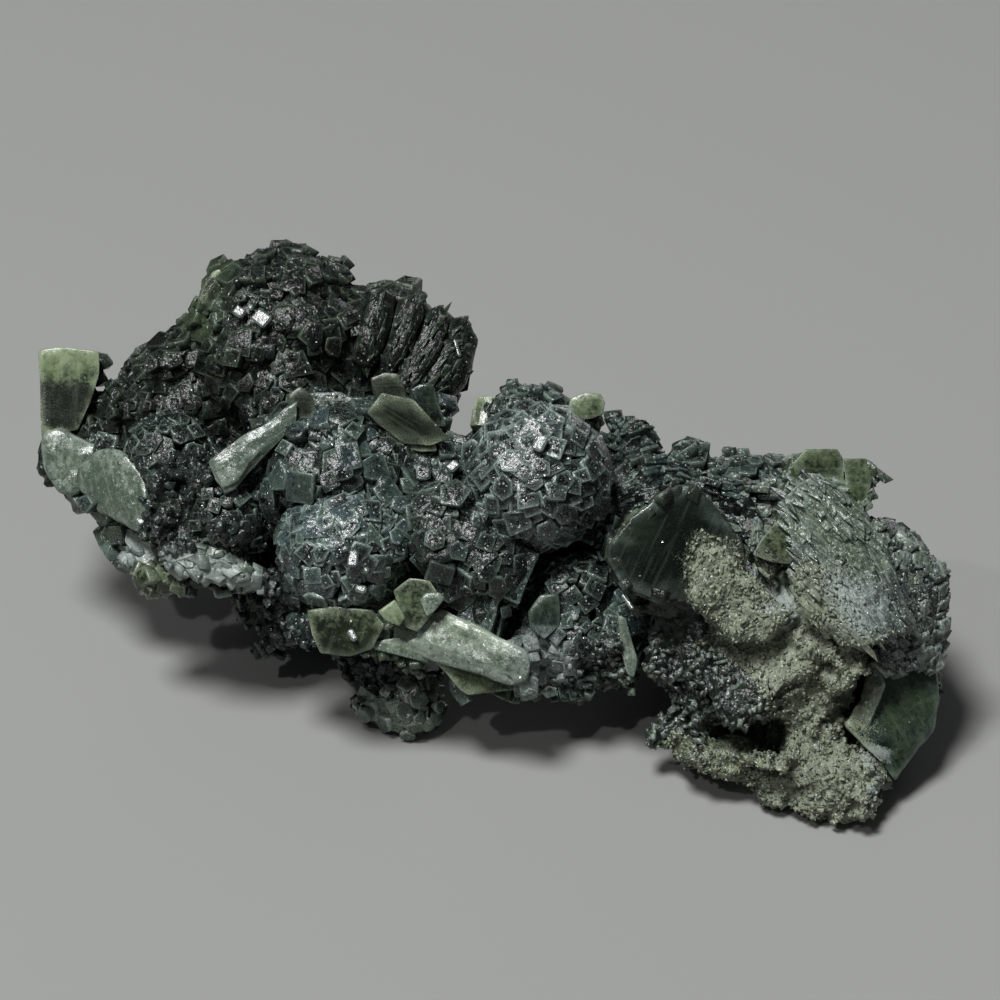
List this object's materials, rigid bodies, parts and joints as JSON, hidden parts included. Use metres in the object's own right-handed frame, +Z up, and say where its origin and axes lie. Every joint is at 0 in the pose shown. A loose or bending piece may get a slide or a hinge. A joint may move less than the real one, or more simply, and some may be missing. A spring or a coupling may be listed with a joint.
{
  "type": "prehnite specimen",
  "caption": "Hand-sized cluster of dark green prehnite, with rosettes of tabular crystals, pale green tablets and a granular epidote-like end, resting on its natural underside.",
  "frame": {"origin": "on the resting surface, below the middle of the specimen's bounding box", "axes": "+X along the specimen's length toward its granular end, +Y away from its front, +Z up from the surface it rests on"},
  "size_m": [0.1037, 0.0607, 0.0437],
  "materials": {
    "dark_prehnite": "gloss",
    "pale_prehnite": "gloss",
    "white_prehnite": "satin",
    "epidote_crust": "satin"
  },
  "bodies": {
    "root": {"prehnite_cluster": "dark_prehnite"}
  },
  "joints": []
}
